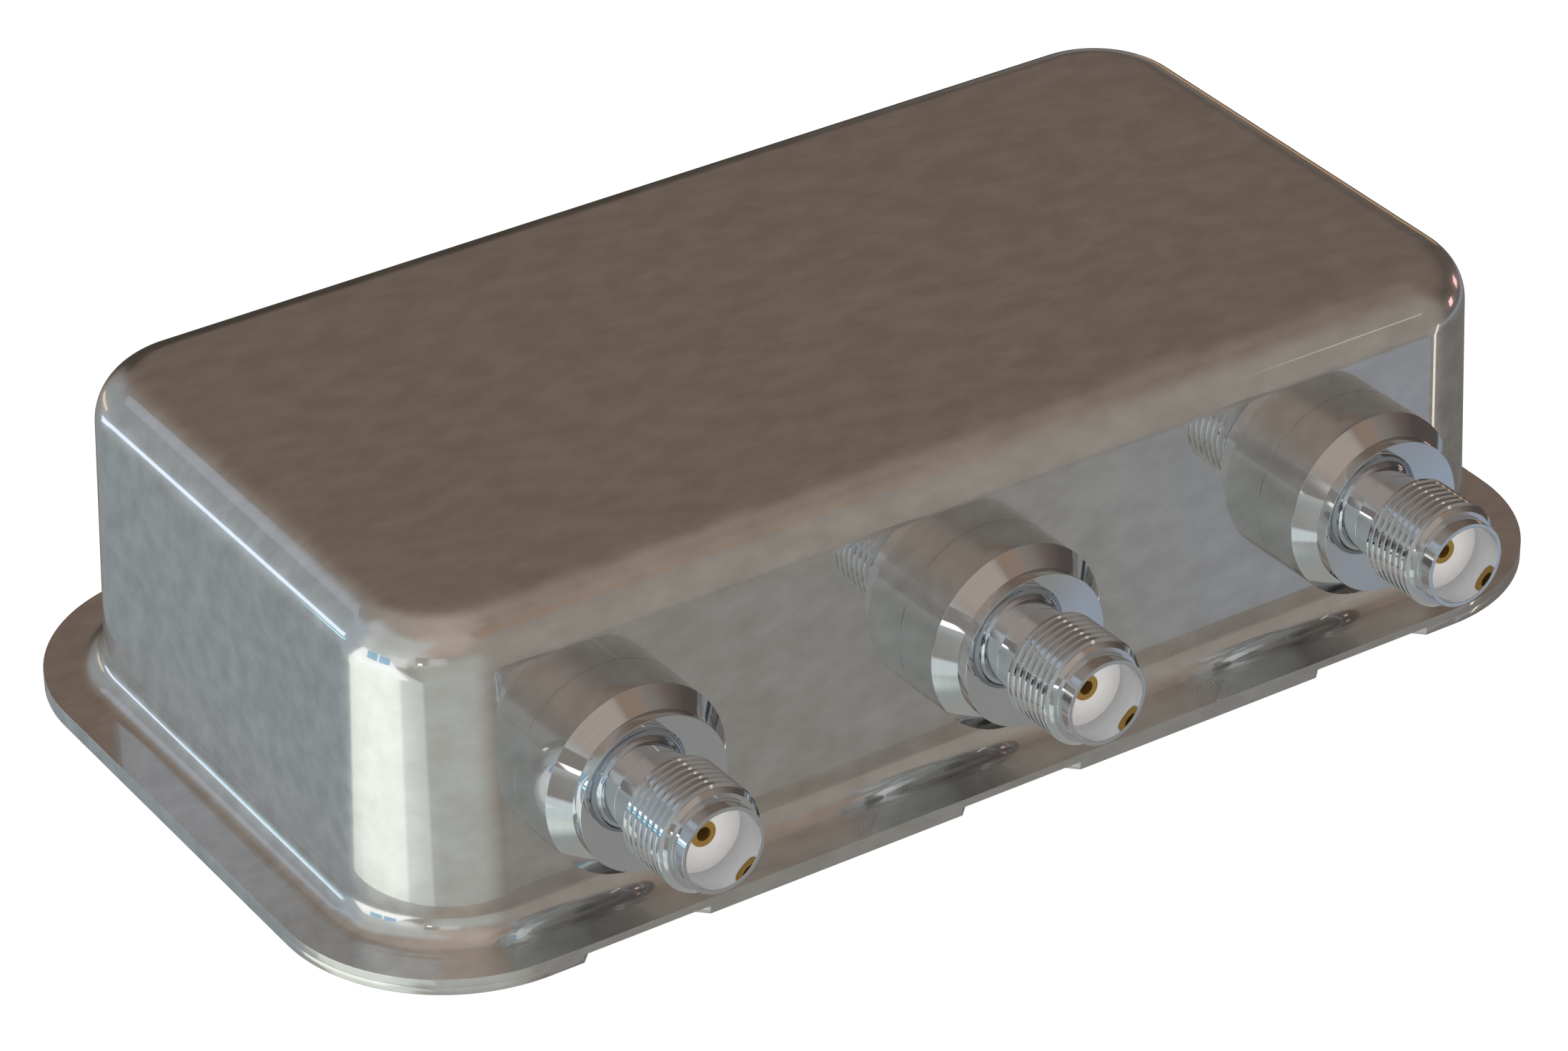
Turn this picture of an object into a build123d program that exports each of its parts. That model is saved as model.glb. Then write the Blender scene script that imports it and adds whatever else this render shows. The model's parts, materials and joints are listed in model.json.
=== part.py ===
from build123d import *
import os
from math import cos, radians, sin, tan

# Three-port coaxial diplexer, in millimetres. A can drawn from sheet stands on a flat base
# plate of the same outline. Three threaded jacks go through its front wall, square to it,
# and the filter board hangs from its roof on four pillars, above the jacks' pins.
# X runs along the length, the jacks face -Y and Z is up.
# The origin is the middle of the base plate's underside.

# Sheet thicknesses
CAN_SHEET = 0.51
BASE_SHEET = 0.51

# Drawn can: the outline that the drafted walls would have at the origin's level
CAN_LENGTH = 74.81
CAN_WIDTH = 39.21
CAN_CORNER = 6.85
CAN_HEIGHT = 20.0
DRAFT = 1.936
TOP_ROUND = 3.04
FOOT_ROUND = 1.6
RIM = 3.47

# Clearance notches in the base plate's front edge, one under each jack
NOTCH_WIDTH = 8.0
NOTCH_DEPTH = 1.2

# Jacks: the outer two lie one inset from the can's ends and the third midway.
# Lengths run along the axis, outwards from the wall's outer face.
JACK_END_INSET = 12.875
JACK_HEIGHT = 9.81
COLLAR_DIAMETER = 11.25
COLLAR_LAND = 3.07
COLLAR_LENGTH = 4.9
COLLAR_FACE_DIAMETER = 9.2
NECK_DIAMETER = 5.06
NECK_LENGTH = 1.75
NECK_COVE = 0.5
THREAD_DIAMETER = 6.35
THREAD_LENGTH = 3.895
THREAD_LEAD_IN = 0.39
LEAD_IN_DIAMETER = 5.63
NOSE_DIAMETER = 5.105
NOSE_LENGTH = 1.025
BORE_DIAMETER = 4.6
BORE_DEPTH = 1.93
RELIEF_DIAMETER = 5.0
RELIEF_WIDTH = 0.6
REAR_BORE_DIAMETER = 4.1
REAR_BORE_REACH = 5.5
SPIGOT_DIAMETER = 6.5
SPIGOT_REACH = 1.5
SPIGOT_CLEARANCE = 0.1

# Insulator and centre contact of a jack
INSULATOR_SETBACK = 0.07
CONTACT_DIAMETER = 1.5
CONTACT_LENGTH = 4.4
SOCKET_DIAMETER = 0.82
SOCKET_DEPTH = 2.6
SOCKET_MOUTH_DIAMETER = 1.14
PIN_DIAMETER = 0.9
PIN_REACH = 3.2

# Solder fillet that holds a jack's spigot inside the wall
SOLDER_WIDTH = 0.9
SOLDER_HEIGHT = 0.7

# Filter board
BOARD_THICKNESS = 1.6
BOARD_PIN_GAP = 0.05
BOARD_SIDE_GAP = 1.0
BOARD_FRONT_GAP = 0.4

# Pillars and screws that carry the board
PILLAR_DIAMETER = 5.0
PILLAR_WALL_GAP = 1.0
PILLAR_HOLE_SPARE = 0.8
PILLAR_FRONT_INSET = 6.5
SCREW_DIAMETER = 2.5
SCREW_LENGTH = 5.0
SCREW_CLEARANCE = 0.1
SCREW_HEAD_DIAMETER = 4.5
SCREW_HEAD_HEIGHT = 1.7
SCREW_RECESS_WIDTH = 1.5
SCREW_RECESS_DEPTH = 0.9

# Folded screen between the two filter halves
SCREEN_SHEET = 0.4
SCREEN_FOOT = 2.2
SCREEN_BEND = 0.4
SCREEN_FRONT_GAP = 2.5
SCREEN_BACK_GAP = 1.0
SCREEN_BASE_GAP = 0.3

# Drum-core coils, in one row for each filter half
LOWPASS_COILS = 4
HIGHPASS_COILS = 3
COIL_CHEEK_DIAMETER = 4.4
COIL_CHEEK = 0.7
COIL_WAIST_DIAMETER = 2.2
COIL_WINDING_DIAMETER = 3.7
COIL_HEIGHT = 4.8
COIL_ROW_INSET = 10.0

# Chip capacitors, in one row for each filter half
LOWPASS_CHIPS = 3
HIGHPASS_CHIPS = 4
CHIP_LENGTH = 3.2
CHIP_WIDTH = 1.6
CHIP_HEIGHT = 1.3
CHIP_CAP = 0.5
CHIP_CAP_PROUD = 0.06
CHIP_ROW_GAP = 2.0
HALF_MARGIN = 0.6

slope = tan(radians(DRAFT))
wall_inset = CAN_SHEET / cos(radians(DRAFT))
flange_top = BASE_SHEET + CAN_SHEET
roof_inside = CAN_HEIGHT - CAN_SHEET
roof_round_inside = TOP_ROUND - CAN_SHEET
cut_spare = 1.0

jack_pitch = CAN_LENGTH / 2 - JACK_END_INSET

# Stations along a jack's axis
spigot_end = -(CAN_SHEET + SPIGOT_REACH)
pin_end = spigot_end - PIN_REACH
collar_cone_end = COLLAR_LAND + (COLLAR_DIAMETER - COLLAR_FACE_DIAMETER) / 2
thread_start = COLLAR_LENGTH + NECK_LENGTH
thread_end = thread_start + THREAD_LENGTH
nose_end = thread_end + NOSE_LENGTH
bore_end = nose_end - BORE_DEPTH
insulator_face = bore_end - INSULATOR_SETBACK
contact_rear = insulator_face - CONTACT_LENGTH


def wall_y(level):
    """Distance of the long walls' outer faces from the middle, at a level."""
    return CAN_WIDTH / 2 - level * slope


def wall_x(level):
    """Distance of the end walls' outer faces from the middle, at a level."""
    return CAN_LENGTH / 2 - level * slope


def flange_block(bottom, top, grow=0.0):
    """Slab with the outline that the can's flange and the base plate share."""
    margin = RIM + grow
    outline = RectangleRounded(CAN_LENGTH + 2 * margin, CAN_WIDTH + 2 * margin, CAN_CORNER + margin)
    return extrude(Pos(0, 0, bottom) * outline, amount=top - bottom)


def drafted_block(inset, bottom, top):
    """Block with the can's drafted sides, its outline inset from the can's own."""
    shrink = inset + bottom * slope
    outline = RectangleRounded(CAN_LENGTH - 2 * shrink, CAN_WIDTH - 2 * shrink, CAN_CORNER - shrink)
    return extrude(Pos(0, 0, bottom) * outline, amount=top - bottom, taper=DRAFT)


def level_edges(shape, level, half_length=1000.0, half_width=1000.0):
    """Edges that lie at a level, no further out than the two half sizes."""
    near = shape.edges().filter_by_position(Axis.Z, level - 0.001, level + 0.001)
    return near.filter_by(
        lambda e: abs(e.center().X) < half_length and abs(e.center().Y) < half_width
    )


def rounded_hat(slab, inset, bottom, top, foot_round, top_round):
    """Slab with a drafted block on it, rounded where they meet and along the block's top."""
    hat = slab + drafted_block(inset, bottom, top)
    hat = fillet(level_edges(hat, bottom, wall_x(bottom), wall_y(bottom)), foot_round)
    return fillet(level_edges(hat, top), top_round)


def corner_at(profile, x, y):
    """Corner of a flat profile nearest to a point."""
    return profile.vertices().sort_by_distance((x, y, 0))[0]


def turned(points):
    """Solid of revolution about Z from (radius, height) points."""
    return revolve(Plane.XZ * make_face(Polyline(points, close=True)), Axis.Z)


def jack_place(number):
    """Seat of a jack: on the front wall's outer face, with Z outwards and square to it."""
    out = (0, -cos(radians(DRAFT)), sin(radians(DRAFT)))
    seat = ((number - 2) * jack_pitch, -wall_y(JACK_HEIGHT), JACK_HEIGHT)
    return Plane(origin=seat, x_dir=(1, 0, 0), z_dir=out).location


def housing_can():
    outside = rounded_hat(
        flange_block(BASE_SHEET, flange_top), 0, flange_top, CAN_HEIGHT, FOOT_ROUND, TOP_ROUND
    )
    inside = rounded_hat(
        flange_block(BASE_SHEET - cut_spare, BASE_SHEET, grow=cut_spare),
        wall_inset, BASE_SHEET, roof_inside, FOOT_ROUND + CAN_SHEET, roof_round_inside,
    )
    can = outside - inside
    hole_radius = SPIGOT_DIAMETER / 2 + SPIGOT_CLEARANCE
    for number in (1, 2, 3):
        can -= jack_place(number) * Cylinder(hole_radius, 4 * CAN_SHEET)
    return can


def base_plate():
    plate = flange_block(0, BASE_SHEET)
    front = -(CAN_WIDTH / 2 + RIM)
    half, deep = NOTCH_WIDTH / 2, NOTCH_DEPTH
    notch = make_face(Polyline(
        (-half, -deep), (half, -deep), (half, 0), (half - deep, deep), (deep - half, deep), (-half, 0),
        close=True,
    ))
    for number in (1, 2, 3):
        seat = Pos((number - 2) * jack_pitch, front, 0)
        plate -= seat * extrude(notch, amount=BASE_SHEET)
    return plate


def jack_body():
    """Collar, neck, thread at its full diameter, nose and bore, turned in one piece.

    A relief groove ends the plain bore just in front of the insulator's face."""
    collar, collar_face = COLLAR_DIAMETER / 2, COLLAR_FACE_DIAMETER / 2
    neck, thread, lead_in = NECK_DIAMETER / 2, THREAD_DIAMETER / 2, LEAD_IN_DIAMETER / 2
    nose, spigot = NOSE_DIAMETER / 2, SPIGOT_DIAMETER / 2
    bore, relief, rear_bore = BORE_DIAMETER / 2, RELIEF_DIAMETER / 2, REAR_BORE_DIAMETER / 2
    profile = make_face(Polyline(
        (rear_bore, spigot_end), (spigot, spigot_end), (spigot, 0), (collar, 0),
        (collar, COLLAR_LAND), (collar_face, collar_cone_end), (collar_face, COLLAR_LENGTH),
        (neck, COLLAR_LENGTH), (neck, thread_start), (thread, thread_start),
        (thread, thread_end - THREAD_LEAD_IN), (lead_in, thread_end), (nose, thread_end),
        (nose, nose_end), (bore, nose_end), (bore, bore_end), (relief, bore_end),
        (relief, bore_end - RELIEF_WIDTH), (bore, bore_end - RELIEF_WIDTH),
        (bore, REAR_BORE_REACH), (rear_bore, REAR_BORE_REACH),
        close=True,
    ))
    cove = min(NECK_COVE, 0.9 * (thread - neck))
    profile = fillet(corner_at(profile, neck, thread_start), cove)
    return revolve(Plane.XZ * profile, Axis.Z)


def jack_insulator():
    bore, rear_bore = BORE_DIAMETER / 2, REAR_BORE_DIAMETER / 2
    contact, pin = CONTACT_DIAMETER / 2, PIN_DIAMETER / 2
    return turned([
        (pin, spigot_end), (rear_bore, spigot_end), (rear_bore, REAR_BORE_REACH),
        (bore, REAR_BORE_REACH), (bore, insulator_face), (contact, insulator_face),
        (contact, contact_rear), (pin, contact_rear),
    ])


def centre_contact():
    contact, pin = CONTACT_DIAMETER / 2, PIN_DIAMETER / 2
    socket, mouth = SOCKET_DIAMETER / 2, SOCKET_MOUTH_DIAMETER / 2
    return turned([
        (0, pin_end), (pin, pin_end), (pin, contact_rear), (contact, contact_rear),
        (contact, insulator_face), (mouth, insulator_face),
        (socket, insulator_face - (mouth - socket)),
        (socket, insulator_face - SOCKET_DEPTH), (0, insulator_face - SOCKET_DEPTH),
    ])


def solder_ring():
    spigot = SPIGOT_DIAMETER / 2
    return turned([
        (spigot, -CAN_SHEET), (spigot, -CAN_SHEET - SOLDER_HEIGHT), (spigot + SOLDER_WIDTH, -CAN_SHEET),
    ])


# The board lies just above the pins, behind the ends of the jacks' spigots
board_reach = -spigot_end + BOARD_FRONT_GAP
board_front = -wall_y(JACK_HEIGHT) + board_reach * cos(radians(DRAFT))
board_bottom = (
    JACK_HEIGHT - board_reach * sin(radians(DRAFT))
    + PIN_DIAMETER / 2 / cos(radians(DRAFT)) + BOARD_PIN_GAP
)
board_top = board_bottom + BOARD_THICKNESS
board_back = wall_y(board_top) - wall_inset - BOARD_SIDE_GAP
board_half = wall_x(board_top) - wall_inset - BOARD_SIDE_GAP
board_corner = CAN_CORNER - board_top * slope - wall_inset - BOARD_SIDE_GAP

# Pillars stand clear of the roof's inner round
pillar_clear = wall_inset + roof_round_inside + PILLAR_DIAMETER / 2 + PILLAR_WALL_GAP
pillar_x = wall_x(roof_inside) - pillar_clear
pillar_back = wall_y(roof_inside) - pillar_clear
pillar_front = board_front + PILLAR_FRONT_INSET
pillar_spots = [(x, y) for x in (-pillar_x, pillar_x) for y in (pillar_front, pillar_back)]

# Rows of components fill each half between the screen and the pillars
half_start = SCREEN_SHEET / 2 + SCREEN_FOOT + HALF_MARGIN
half_end = pillar_x - PILLAR_DIAMETER / 2 - HALF_MARGIN
coil_row = board_back - COIL_ROW_INSET
chip_row = coil_row - COIL_CHEEK_DIAMETER / 2 - CHIP_ROW_GAP - CHIP_WIDTH / 2


def filter_board():
    width = board_back - board_front
    middle = (board_back + board_front) / 2
    outline = RectangleRounded(2 * board_half, width, board_corner)
    board = extrude(Pos(0, middle, board_bottom) * outline, amount=BOARD_THICKNESS)
    hole_radius = SCREW_DIAMETER / 2 + SCREW_CLEARANCE
    for x, y in pillar_spots:
        board -= Pos(x, y, board_bottom) * Cylinder(hole_radius, 3 * BOARD_THICKNESS)
    return board


def board_pillar(x, y):
    length = roof_inside - board_top
    depth = SCREW_LENGTH - BOARD_THICKNESS + PILLAR_HOLE_SPARE
    seat = Pos(x, y, board_top)
    low = (Align.CENTER, Align.CENTER, Align.MIN)
    post = Cylinder(PILLAR_DIAMETER / 2, length, align=low)
    return seat * (post - Cylinder(SCREW_DIAMETER / 2, depth, align=low))


def board_screw(x, y):
    high = (Align.CENTER, Align.CENTER, Align.MAX)
    low = (Align.CENTER, Align.CENTER, Align.MIN)
    head = Cylinder(SCREW_HEAD_DIAMETER / 2, SCREW_HEAD_HEIGHT, align=high)
    shank = Cylinder(SCREW_DIAMETER / 2, SCREW_LENGTH, align=low)
    recess = extrude(
        RegularPolygon(SCREW_RECESS_WIDTH / 2, 6, major_radius=False), amount=SCREW_RECESS_DEPTH
    )
    return Pos(x, y, board_bottom) * (head + shank - Pos(0, 0, -SCREW_HEAD_HEIGHT) * recess)


def screen_wall():
    """Sheet folded to an angle: its foot lies on the board, its wall comes down to the base."""
    bottom = BASE_SHEET + SCREEN_BASE_GAP
    left, right = -SCREEN_SHEET / 2, SCREEN_SHEET / 2
    angle = make_face(Polyline(
        (left, bottom), (right, bottom), (right, board_bottom - SCREEN_SHEET),
        (right + SCREEN_FOOT, board_bottom - SCREEN_SHEET), (right + SCREEN_FOOT, board_bottom),
        (left, board_bottom),
        close=True,
    ))
    angle = fillet(corner_at(angle, right, board_bottom - SCREEN_SHEET), SCREEN_BEND)
    angle = fillet(corner_at(angle, left, board_bottom), SCREEN_BEND + SCREEN_SHEET)
    pin_tip = -wall_y(JACK_HEIGHT) - pin_end * cos(radians(DRAFT))
    front = pin_tip + SCREEN_FRONT_GAP
    back = board_back - SCREEN_BACK_GAP
    return Pos(0, back, 0) * extrude(Plane.XZ * angle, amount=back - front)


def row_spots(side, count):
    """Evenly spread X places in one half of the board, on the side given as -1 or 1."""
    step = (half_end - half_start) / count
    return [side * (half_start + step * (i + 0.5)) for i in range(count)]


def coil_core():
    cheek, waist = COIL_CHEEK_DIAMETER / 2, COIL_WAIST_DIAMETER / 2
    return turned([
        (0, 0), (cheek, 0), (cheek, -COIL_CHEEK), (waist, -COIL_CHEEK),
        (waist, COIL_CHEEK - COIL_HEIGHT), (cheek, COIL_CHEEK - COIL_HEIGHT),
        (cheek, -COIL_HEIGHT), (0, -COIL_HEIGHT),
    ])


def coil_winding():
    waist, winding = COIL_WAIST_DIAMETER / 2, COIL_WINDING_DIAMETER / 2
    return turned([
        (waist, -COIL_CHEEK), (winding, -COIL_CHEEK), (winding, COIL_CHEEK - COIL_HEIGHT),
        (waist, COIL_CHEEK - COIL_HEIGHT),
    ])


def chip():
    """Chip capacitor with its length across the row and its end caps a little proud."""
    proud = CHIP_CAP_PROUD
    body = Box(CHIP_WIDTH - 2 * proud, CHIP_LENGTH - 2 * proud, CHIP_HEIGHT - 2 * proud)
    cap = Box(CHIP_WIDTH, CHIP_CAP, CHIP_HEIGHT)
    reach = (CHIP_LENGTH - CHIP_CAP) / 2
    return Pos(0, 0, -CHIP_HEIGHT / 2) * (body + Pos(0, reach, 0) * cap + Pos(0, -reach, 0) * cap)


def under_board(shape, side, count, row):
    """Copies of a component hung under the board in an evenly spread row."""
    return [Pos(x, row, board_bottom) * shape for x in row_spots(side, count)]


def save(name, *solids):
    """Write one node: a single solid, or a group of separate ones."""
    export_step(solids[0] if len(solids) == 1 else Compound(solids), f"parts/{name}.step")


os.makedirs("parts", exist_ok=True)
save("housing_can", housing_can())
save("base_plate", base_plate())
for number in (1, 2, 3):
    save(f"jack_body_{number}", jack_place(number) * jack_body())
    save(f"jack_insulator_{number}", jack_place(number) * jack_insulator())
    save(f"centre_contact_{number}", jack_place(number) * centre_contact())
save("jack_solder_rings", *[jack_place(number) * solder_ring() for number in (1, 2, 3)])
save("filter_board", filter_board())
save("board_pillars", *[board_pillar(x, y) for x, y in pillar_spots])
save("board_screws", *[board_screw(x, y) for x, y in pillar_spots])
save("screen_wall", screen_wall())
save("lowpass_coil_cores", *under_board(coil_core(), -1, LOWPASS_COILS, coil_row))
save("lowpass_coil_windings", *under_board(coil_winding(), -1, LOWPASS_COILS, coil_row))
save("highpass_coil_cores", *under_board(coil_core(), 1, HIGHPASS_COILS, coil_row))
save("highpass_coil_windings", *under_board(coil_winding(), 1, HIGHPASS_COILS, coil_row))
save("lowpass_capacitors", *under_board(chip(), -1, LOWPASS_CHIPS, chip_row))
save("highpass_capacitors", *under_board(chip(), 1, HIGHPASS_CHIPS, chip_row))
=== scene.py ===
import json
import math
import bmesh
import bpy
from mathutils import Matrix, Vector


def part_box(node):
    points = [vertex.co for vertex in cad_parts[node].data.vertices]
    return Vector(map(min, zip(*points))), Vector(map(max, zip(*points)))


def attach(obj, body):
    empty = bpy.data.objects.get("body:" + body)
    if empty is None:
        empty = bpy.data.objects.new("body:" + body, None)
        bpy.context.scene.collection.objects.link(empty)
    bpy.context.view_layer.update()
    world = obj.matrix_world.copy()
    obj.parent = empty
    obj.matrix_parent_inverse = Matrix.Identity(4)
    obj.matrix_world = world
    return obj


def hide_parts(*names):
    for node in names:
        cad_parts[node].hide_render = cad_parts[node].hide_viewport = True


# A three-port coaxial diplexer: a drawn can on a flat base plate, with three turned jacks
# in a row on its front wall. Lengths are written in millimetres and turned into metres.
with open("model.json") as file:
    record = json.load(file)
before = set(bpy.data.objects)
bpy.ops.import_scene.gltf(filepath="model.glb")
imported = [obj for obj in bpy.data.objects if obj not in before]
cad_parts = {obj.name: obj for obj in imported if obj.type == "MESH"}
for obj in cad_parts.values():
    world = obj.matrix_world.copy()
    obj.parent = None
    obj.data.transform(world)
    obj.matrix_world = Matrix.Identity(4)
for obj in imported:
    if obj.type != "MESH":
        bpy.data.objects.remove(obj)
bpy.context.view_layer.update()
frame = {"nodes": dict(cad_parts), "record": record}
MM = 0.001

# Drawn can and base plate
SHEET = 0.51 * MM
DRAFT = math.radians(1.936)
RIM = 3.47 * MM
FLANGE_CORNER = 10.32 * MM
TOP_ROUND = 3.04 * MM
FOOT_ROUND = 1.6 * MM
SHEET_EDGE_ROUND = 0.025 * MM
NOTCH_HALF_WIDTH = 4.0 * MM
NOTCH_DEPTH = 1.2 * MM
HOLE_RADIUS = 3.35 * MM

# Jack, along its axis from the wall's outer face
SPIGOT_RADIUS = 3.25 * MM
SPIGOT_END = -2.01 * MM
COLLAR_RADIUS = 5.625 * MM
COLLAR_LAND = 3.07 * MM
COLLAR_FACE_RADIUS = 4.6 * MM
COLLAR_LENGTH = 4.9 * MM
NECK_RADIUS = 2.53 * MM
NECK_COVE = 0.5 * MM
THREAD_RADIUS = 3.175 * MM
THREAD_START = 6.65 * MM
THREAD_END = 10.545 * MM
THREAD_LEAD_IN = 0.39 * MM
LEAD_IN_RADIUS = 2.815 * MM
NOSE_RADIUS = 2.5525 * MM
NOSE_END = 11.57 * MM
BORE_RADIUS = 2.3 * MM
RELIEF_RADIUS = 2.5 * MM
RELIEF_START = 9.04 * MM
REAR_BORE_RADIUS = 2.05 * MM
REAR_BORE_REACH = 5.5 * MM
TURNED_EDGE = 0.03 * MM

# Thread: a sixty degree groove between flat crests, right-handed
PITCH = 0.514 * MM
GROOVE_DEPTH = 0.235 * MM
GROOVE_ROOT = 0.012 * MM
GROOVE_HALF_ANGLE = math.radians(30)
CREST_AT_START = 6.746 * MM
STEPS_PER_TURN = 160

# Insulator and centre contact
INSULATOR_FACE = 9.57 * MM
CONTACT_FACE = 9.66 * MM
CONTACT_RADIUS = 0.75 * MM
CONTACT_REAR = 5.17 * MM
PIN_RADIUS = 0.45 * MM
PIN_ROUND = 0.12 * MM
PIN_END = -5.21 * MM
SOCKET_RADIUS = 0.41 * MM
SOCKET_MOUTH = 0.43 * MM
SOCKET_DEPTH = 2.6 * MM

CORNER_STEPS = 28
ARC_STEP = math.radians(5)
LATHE_STEPS = 160
SHARP_ANGLE = math.radians(25)
HOLE_REACH = 2 * SHEET
LEAST_CORNER = 0.1 * MM
ON_FACE = 0.02 * MM
FLAT_FACE = 0.999

JACKS = (1, 2, 3)
MOUNTS = {mount["name"]: mount for mount in frame["record"]["mounts"]}
THREAD_WALL_MIDDLE = (THREAD_START + THREAD_END - THREAD_LEAD_IN) / 2

plate_low, plate_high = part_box("base_plate")
can_low, can_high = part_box("housing_can")
FLANGE_TOP = can_low.z + SHEET
SLOPE = math.tan(DRAFT)


# Outlines and paths

def rounded_path(corners):
    """Points along a path of (x, y, radius) corners, each corner turned in an arc of its radius."""
    points = []
    for i, (x, y, radius) in enumerate(corners):
        here = Vector((x, y))
        if radius == 0 or i in (0, len(corners) - 1):
            points.append((x, y))
            continue
        to_last = (Vector(corners[i - 1][:2]) - here).normalized()
        to_next = (Vector(corners[i + 1][:2]) - here).normalized()
        opening = to_last.angle(to_next)
        centre = here + (to_last + to_next).normalized() * (radius / math.sin(opening / 2))
        start = here + to_last * (radius / math.tan(opening / 2)) - centre
        turn = math.pi - opening
        if to_last.x * to_next.y - to_last.y * to_next.x > 0:
            turn = -turn
        steps = max(2, math.ceil(abs(turn) / ARC_STEP))
        for step in range(steps + 1):
            points.append(tuple(centre + Matrix.Rotation(turn * step / steps, 2) @ start))
    return points


def rounded_loop(half_x, half_y, corner):
    """Points of a rounded rectangle, anticlockwise seen from above."""
    points = []
    for quarter, (side_x, side_y) in enumerate(((1, 1), (-1, 1), (-1, -1), (1, -1))):
        middle_x, middle_y = side_x * (half_x - corner), side_y * (half_y - corner)
        for step in range(CORNER_STEPS + 1):
            turn = (quarter + step / CORNER_STEPS) * math.pi / 2
            points.append((middle_x + corner * math.cos(turn), middle_y + corner * math.sin(turn)))
    return points


# Meshes

def bridge(bm, ring_a, ring_b):
    """Faces between two closed rings of as many vertices; a ring of one vertex is a pole."""
    count = max(len(ring_a), len(ring_b))
    for i in range(count):
        j = (i + 1) % count
        corners = [ring_a[i % len(ring_a)], ring_a[j % len(ring_a)],
                   ring_b[j % len(ring_b)], ring_b[i % len(ring_b)]]
        bm.faces.new(list(dict.fromkeys(corners)))


def turned_mesh(profile, closed):
    """Surface of revolution about Z from (radius, height) points, closed at the axis or in a loop."""
    bm = bmesh.new()
    rings = []
    for radius, height in profile:
        if radius == 0:
            rings.append([bm.verts.new((0, 0, height))])
            continue
        rings.append([
            bm.verts.new((radius * math.cos(turn), radius * math.sin(turn), height))
            for turn in (2 * math.pi * i / LATHE_STEPS for i in range(LATHE_STEPS))
        ])
    pairs = list(zip(rings, rings[1:]))
    if closed:
        pairs.append((rings[-1], rings[0]))
    for ring_a, ring_b in pairs:
        bridge(bm, ring_a, ring_b)
    return bm


def object_from(name, bm):
    """Object at the origin from a finished bmesh, with its faces turned outwards."""
    bmesh.ops.recalc_face_normals(bm, faces=bm.faces)
    for face in bm.faces:
        face.smooth = True
    mesh = bpy.data.meshes.new(name)
    bm.to_mesh(mesh)
    bm.free()
    obj = bpy.data.objects.new(name, mesh)
    bpy.context.scene.collection.objects.link(obj)
    return obj


def baked(obj):
    """Turns an object's modifiers into its mesh and removes them."""
    bpy.context.view_layer.update()
    evaluated = obj.evaluated_get(bpy.context.evaluated_depsgraph_get())
    mesh = bpy.data.meshes.new_from_object(evaluated)
    obj.modifiers.clear()
    old = obj.data
    obj.data = mesh
    bpy.data.meshes.remove(old)
    mesh.name = obj.name
    return obj


def crisp(obj):
    """Sharp edges where faces meet at an angle, and normals led by the larger faces."""
    mesh = obj.data
    bm = bmesh.new()
    bm.from_mesh(mesh)
    for edge in bm.edges:
        edge.smooth = len(edge.link_faces) == 2 and edge.calc_face_angle() < SHARP_ANGLE
    for face in bm.faces:
        face.smooth = True
    bm.to_mesh(mesh)
    bm.free()
    weighted = obj.modifiers.new("even_normals", "WEIGHTED_NORMAL")
    weighted.keep_sharp = True
    return baked(obj)


def cut(obj, cutters):
    """Cuts solids out of a piece and deletes them."""
    for cutter in cutters:
        boolean = obj.modifiers.new("cut", "BOOLEAN")
        boolean.operation = "DIFFERENCE"
        boolean.solver = "EXACT"
        boolean.object = cutter
    baked(obj)
    for cutter in cutters:
        bpy.data.objects.remove(cutter)
    return obj


def jack_seat(number):
    """Places a jack: its Z runs out along the axis from the wall's face, its Y upwards."""
    mount = MOUNTS[f"jack_thread_{number}"]
    axis = Vector(mount["axis"]).normalized()
    across = Vector((1, 0, 0))
    seat = Vector(mount["pos_m"]) - axis * THREAD_WALL_MIDDLE
    return Matrix.Translation(seat) @ Matrix((across, axis.cross(across), axis)).transposed().to_4x4()


# Pieces

def housing_can():
    """The drawn can: both skins lofted from rounded outlines that grow and shrink with the draft."""
    top = can_high.z
    half_x = (can_high.x - can_low.x) / 2 - RIM
    half_y = (can_high.y - can_low.y) / 2 - RIM
    inset = SHEET / math.cos(DRAFT)
    roof_reach = -8 * MM
    outside = rounded_path([
        (RIM, can_low.z + SHEET / 2, 0),
        (RIM, FLANGE_TOP, SHEET_EDGE_ROUND),
        (-FLANGE_TOP * SLOPE, FLANGE_TOP, FOOT_ROUND),
        (-top * SLOPE, top, TOP_ROUND),
        (roof_reach, top, 0),
    ])
    inside = rounded_path([
        (roof_reach, top - SHEET, 0),
        (-(top - SHEET) * SLOPE - inset, top - SHEET, TOP_ROUND - SHEET),
        (-can_low.z * SLOPE - inset, can_low.z, FOOT_ROUND + SHEET),
        (RIM, can_low.z, SHEET_EDGE_ROUND),
        (RIM, can_low.z + SHEET / 2, 0),
    ])
    outset_corner = FLANGE_CORNER - RIM
    bm = bmesh.new()
    rings = []
    for outset, level in outside + inside[:-1]:
        corner = max(outset_corner + outset, LEAST_CORNER)
        loop = rounded_loop(half_x + outset, half_y + outset, corner)
        rings.append([bm.verts.new((x, y, level)) for x, y in loop])
    for ring_a, ring_b in zip(rings, rings[1:] + rings[:1]):
        if ring_a is rings[len(outside) - 1]:
            bm.faces.new(ring_a)
            bm.faces.new(ring_b)
            continue
        bridge(bm, ring_a, ring_b)
    can = object_from("drawn_can", bm)
    cutters = []
    for number in JACKS:
        profile = [(0, -HOLE_REACH), (HOLE_RADIUS, -HOLE_REACH), (HOLE_RADIUS, HOLE_REACH), (0, HOLE_REACH)]
        hole = turned_mesh(profile, closed=False)
        hole.transform(jack_seat(number))
        cutters.append(object_from(f"jack_hole_{number}", hole))
    return crisp(cut(can, cutters))


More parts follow.
